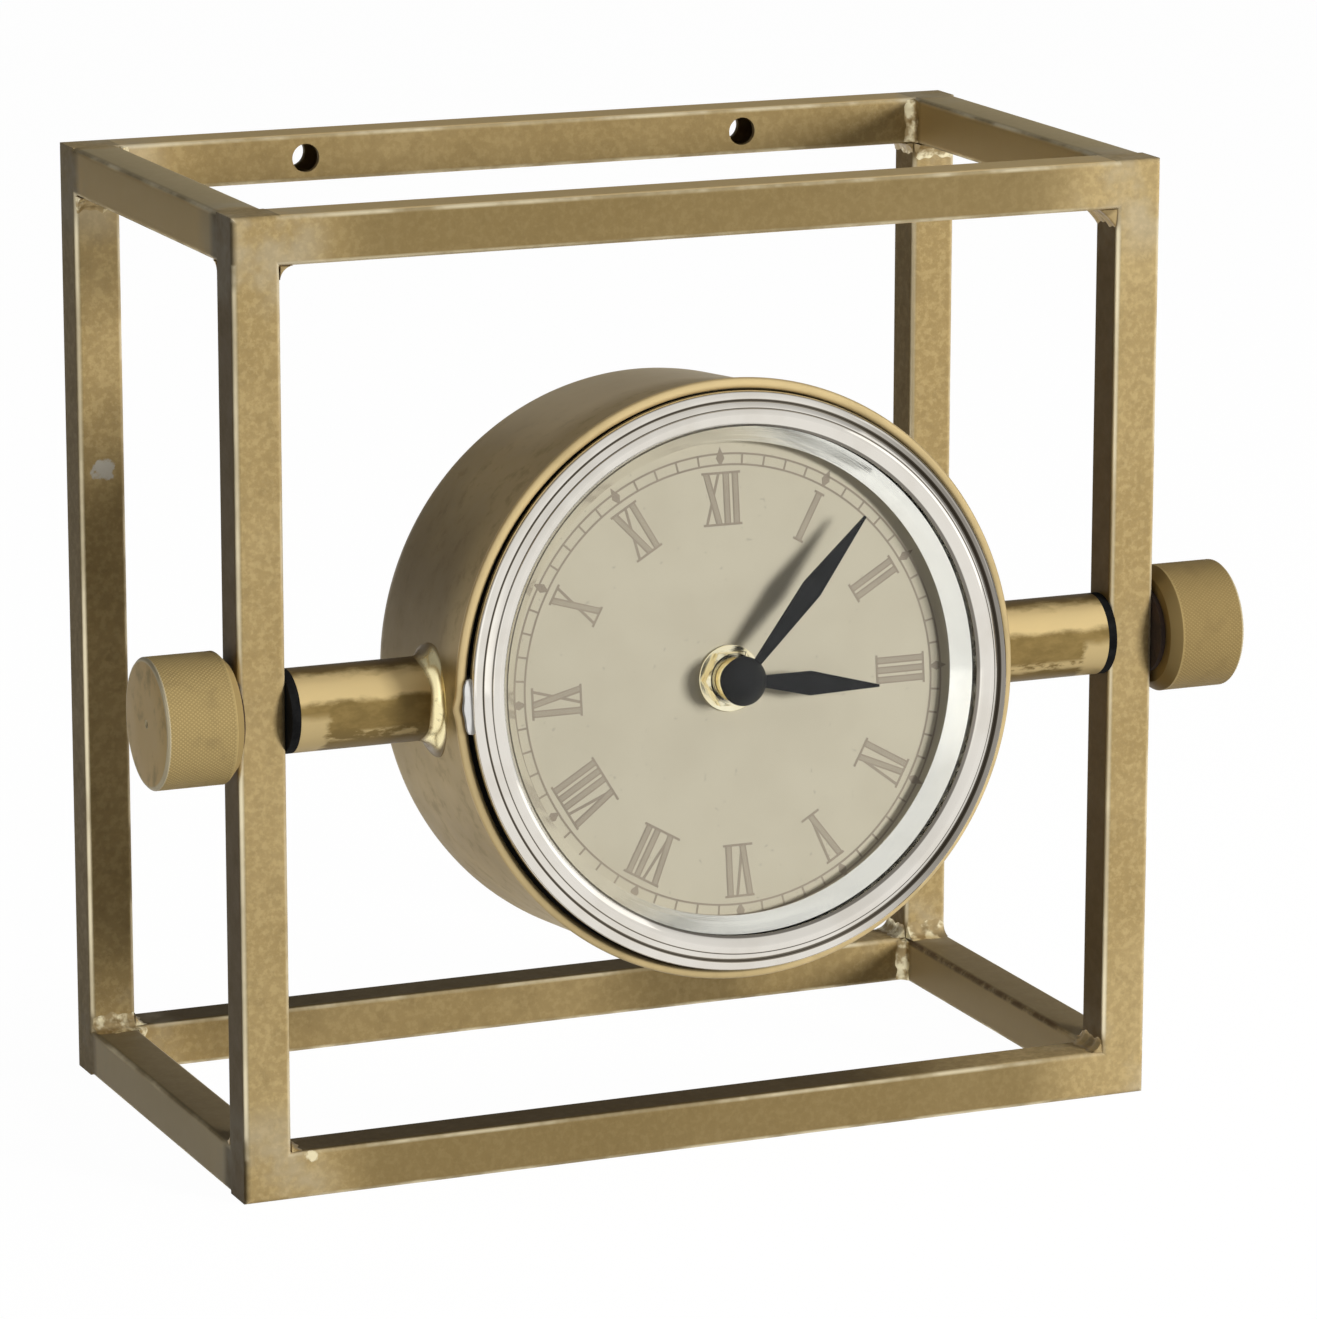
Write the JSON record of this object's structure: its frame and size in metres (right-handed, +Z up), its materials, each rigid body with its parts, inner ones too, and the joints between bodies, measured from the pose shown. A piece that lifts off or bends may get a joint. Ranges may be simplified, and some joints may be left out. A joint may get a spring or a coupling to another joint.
{
  "type": "desk clock",
  "caption": "Round desk clock in a drum that tilts on two knurled knobs inside an open frame of square tube.",
  "frame": {"origin": "on the standing surface, in the middle of the front bottom bar, right under the pivot axis", "axes": "+X to the right of someone facing the dial, -Y towards them, +Z up"},
  "size_m": [0.237, 0.1356, 0.2],
  "materials": {
    "antique_brass_frame": "antique brass plating, rubbed",
    "antique_brass_drum": "dark antique brass, satin",
    "weld_brass": "bright plated weld",
    "knurled_brass": "knurled, aged",
    "black_rubber": "matte",
    "fibre": "vulcanised fibre",
    "zinc_steel": "zinc plated",
    "chrome_plate": "bright chrome",
    "polished_steel": "polished",
    "clear_glass": "clear, domed",
    "printed_dial": "cream print with faint grey numerals",
    "hand_black": "satin black",
    "plain_brass": "polished brass",
    "white_pvc": "soft PVC",
    "black_plastic": "moulded",
    "white_acetal": "moulded acetal",
    "motor_steel": "plain",
    "copper_wire": "enamelled wire",
    "board_green": "solder mask",
    "chip_black": "epoxy",
    "battery_can": "plain sleeve, no print"
  },
  "bodies": {
    "frame": {"front_top_bar": "antique_brass_frame", "front_bottom_bar": "antique_brass_frame", "rear_top_bar": "antique_brass_frame", "rear_bottom_bar": "antique_brass_frame", "front_post_left": "antique_brass_frame", "front_post_right": "antique_brass_frame", "rear_post_left": "antique_brass_frame", "rear_post_right": "antique_brass_frame", "top_rail_left": "antique_brass_frame", "top_rail_right": "antique_brass_frame", "bottom_rail_left": "antique_brass_frame", "bottom_rail_right": "antique_brass_frame", "frame_welds": "weld_brass", "friction_washers": "black_rubber"},
    "left_washer": {"fibre_washer_left": "fibre"},
    "left_knob": {"knob_left": "knurled_brass", "pivot_screw_left": "zinc_steel"},
    "right_washer": {"fibre_washer_right": "fibre"},
    "right_knob": {"knob_right": "knurled_brass", "pivot_screw_right": "zinc_steel"},
    "drum": {"drum_shell": "antique_brass_drum", "stub_left": "antique_brass_frame", "stub_right": "antique_brass_frame", "stub_welds": "weld_brass"},
    "insert": {"insert_housing": "black_plastic", "gasket": "white_pvc", "dial": "printed_dial", "rehaut": "polished_steel", "lens": "clear_glass", "bezel": "chrome_plate", "dial_cushion": "black_rubber", "bushing": "plain_brass", "dial_washer": "plain_brass", "dial_nut": "plain_brass", "movement_case": "black_plastic", "movement_cover": "black_plastic", "stator": "motor_steel", "coil": "copper_wire", "circuit_board": "board_green", "timing_chip": "chip_black", "battery": "battery_can", "battery_contacts": "motor_steel"},
    "minute_hand_set": {"minute_arbor": "plain_brass", "minute_hand": "hand_black", "hand_cap": "hand_black"},
    "hour_hand_set": {"hour_wheel": "white_acetal", "hour_hand": "hand_black"},
    "minute_wheel": {"minute_wheel": "white_acetal"},
    "setting_set": {"setting_shaft": "white_acetal", "setting_knob": "black_plastic"},
    "centre_wheel": {"centre_wheel": "white_acetal"},
    "third_wheel": {"third_wheel": "white_acetal"},
    "intermediate_wheel": {"intermediate_wheel": "white_acetal"},
    "rotor": {"rotor": "white_acetal"}
  },
  "joints": [
    {"name": "drum_tilt", "type": "hinge", "parent": "frame", "child": "drum", "pos_m": [0, 0, 0.1], "axis": [-1, 0, 0], "continuous": true},
    {"name": "left_knob_travel", "type": "slide", "parent": "frame", "child": "left_washer", "axis": [-1, 0, 0], "range_m": [0, 0.002]},
    {"name": "left_knob_turn", "type": "hinge", "parent": "left_washer", "child": "left_knob", "pos_m": [-0.11, 0, 0.1], "axis": [-1, 0, 0], "range_deg": [0, 722]},
    {"name": "right_knob_travel", "type": "slide", "parent": "frame", "child": "right_washer", "axis": [1, 0, 0], "range_m": [0, 0.002]},
    {"name": "right_knob_turn", "type": "hinge", "parent": "right_washer", "child": "right_knob", "pos_m": [0.11, 0, 0.1], "axis": [1, 0, 0], "range_deg": [0, 722]},
    {"name": "insert_pull", "type": "slide", "parent": "drum", "child": "insert", "axis": [0, -0.9925, 0.1219], "range_m": [0, 0.028]},
    {"name": "minute_turn", "type": "hinge", "parent": "insert", "child": "minute_hand_set", "pos_m": [0, 0, 0.1], "axis": [0, 0.9925, -0.1219], "continuous": true},
    {"name": "hour_turn", "type": "hinge", "parent": "insert", "child": "hour_hand_set", "pos_m": [0, 0, 0.1], "axis": [0, 0.9925, -0.1219], "continuous": true},
    {"name": "minute_wheel_turn", "type": "hinge", "parent": "insert", "child": "minute_wheel", "pos_m": [-0.00831, 0.00059, 0.10476], "axis": [0, 0.9925, -0.1219], "continuous": true},
    {"name": "setting_turn", "type": "hinge", "parent": "insert", "child": "setting_set", "pos_m": [-0.01846, 0.00104, 0.10843], "axis": [0, 0.9925, -0.1219], "continuous": true},
    {"name": "rotor_turn", "type": "hinge", "parent": "insert", "child": "rotor", "pos_m": [0.0219, 0.00173, 0.11407], "axis": [0, 0.9925, -0.1219], "continuous": true},
    {"name": "intermediate_turn", "type": "hinge", "parent": "insert", "child": "intermediate_wheel", "pos_m": [0.0144, 0.00101, 0.10825], "axis": [0, 0.9925, -0.1219], "continuous": true},
    {"name": "third_turn", "type": "hinge", "parent": "insert", "child": "third_wheel", "pos_m": [0.0048, 0.00101, 0.10825], "axis": [0, 0.9925, -0.1219], "continuous": true},
    {"name": "centre_turn", "type": "hinge", "parent": "insert", "child": "centre_wheel", "pos_m": [0, 0, 0.1], "axis": [0, 0.9925, -0.1219], "continuous": true}
  ],
  "couplings": [
    {"joint": "left_knob_turn", "follows": "left_knob_travel", "rad_per_m": 6283.2},
    {"joint": "right_knob_turn", "follows": "right_knob_travel", "rad_per_m": 6283.2},
    {"joint": "hour_turn", "follows": "minute_turn", "ratio": 0.083333},
    {"joint": "minute_wheel_turn", "follows": "minute_turn", "ratio": -0.33333},
    {"joint": "setting_turn", "follows": "minute_turn", "ratio": 0.66667},
    {"joint": "third_turn", "follows": "centre_turn", "ratio": -3},
    {"joint": "intermediate_turn", "follows": "centre_turn", "ratio": 15},
    {"joint": "rotor_turn", "follows": "centre_turn", "ratio": -90}
  ]
}
